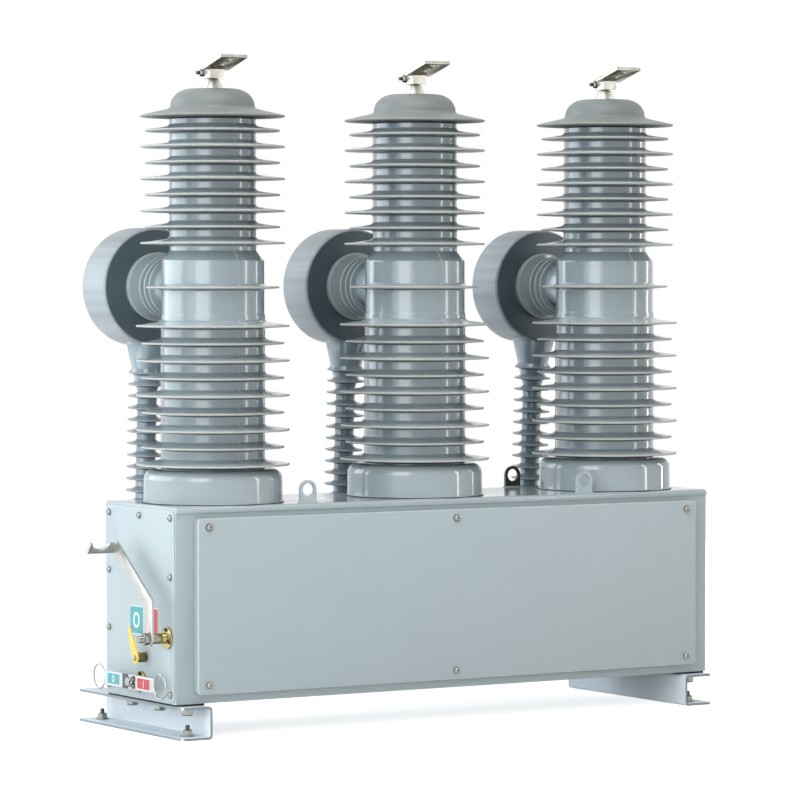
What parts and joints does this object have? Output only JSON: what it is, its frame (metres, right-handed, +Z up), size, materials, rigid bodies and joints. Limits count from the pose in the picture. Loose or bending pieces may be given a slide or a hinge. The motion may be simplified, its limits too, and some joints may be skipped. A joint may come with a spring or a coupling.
{
  "type": "outdoor high-voltage circuit breaker",
  "caption": "Outdoor live-tank style pole breaker: shedded insulator poles with ring current transformers behind them on a long mechanism cabinet with foot channels.",
  "frame": {"origin": "centre of the foot-bolt pattern, on the floor under the foot channels", "axes": "+X along the cabinet away from the operating panel, +Y to the back where the current transformers stand, +Z up"},
  "size_m": [1.743, 0.74, 1.6927],
  "materials": {
    "foot": "semi-gloss paint",
    "packing": "matt",
    "cabinet": "gloss paint",
    "cover": "gloss paint",
    "panel": "gloss paint",
    "shelf": "gloss paint",
    "drum": "gloss paint",
    "insulator": "glossy silicone or epoxy",
    "cap": "matt silicone",
    "stud": "tinned",
    "terminal": "tinned",
    "ct_body": "glossy epoxy",
    "ct_base": "satin paint",
    "bearing": "yellow passivated",
    "lever": "zinc plated",
    "pointer": "gloss paint",
    "rocker": "zinc plated with labels"
  },
  "bodies": {
    "breaker": {"foot_channel_left": "foot", "foot_channel_right": "foot", "foot_packing_left": "packing", "foot_packing_right": "packing", "cabinet_shell": "cabinet", "cabinet_top": "cabinet", "front_cover": "cover", "operating_panel": "panel", "end_plate": "panel", "ct_shelf": "shelf", "pole_base_a": "drum", "pole_base_b": "drum", "pole_base_c": "drum", "pole_insulator_a": "insulator", "pole_insulator_b": "insulator", "pole_insulator_c": "insulator", "pole_cap_a": "cap", "pole_cap_b": "cap", "pole_cap_c": "cap", "terminal_stud_a": "stud", "terminal_stud_b": "stud", "terminal_stud_c": "stud", "terminal_clamp_a": "terminal", "terminal_clamp_b": "terminal", "terminal_clamp_c": "terminal", "ct_ring_a": "ct_body", "ct_ring_b": "ct_body", "ct_ring_c": "ct_body", "ct_support_a": "insulator", "ct_support_b": "insulator", "ct_support_c": "insulator", "ct_base_a": "ct_base", "ct_base_b": "ct_base", "ct_base_c": "ct_base", "rear_terminal_a": "terminal", "rear_terminal_b": "terminal", "rear_terminal_c": "terminal", "lever_bearing": "bearing", "pointer_boss": "bearing", "rocker_bearing": "bearing"},
    "lever": {"lever_shaft": "lever", "charging_lever": "lever"},
    "pointer": {"position_pointer": "pointer"},
    "rocker": {"trip_rocker": "rocker"}
  },
  "joints": [
    {"name": "lever_turn", "type": "hinge", "parent": "breaker", "child": "lever", "pos_m": [-0.808, -0.208, 0.25], "axis": [-1, 0, 0], "range_deg": [0, 70]},
    {"name": "pointer_turn", "type": "hinge", "parent": "breaker", "child": "pointer", "pos_m": [-0.808, -0.095, 0.194], "axis": [1, 0, 0], "range_deg": [0, 48]},
    {"name": "rocker_turn", "type": "hinge", "parent": "breaker", "child": "rocker", "pos_m": [-0.808, -0.073, 0.133], "axis": [1, 0, 0], "range_deg": [-20, 20], "stiffness_Nm_per_rad": 4}
  ]
}
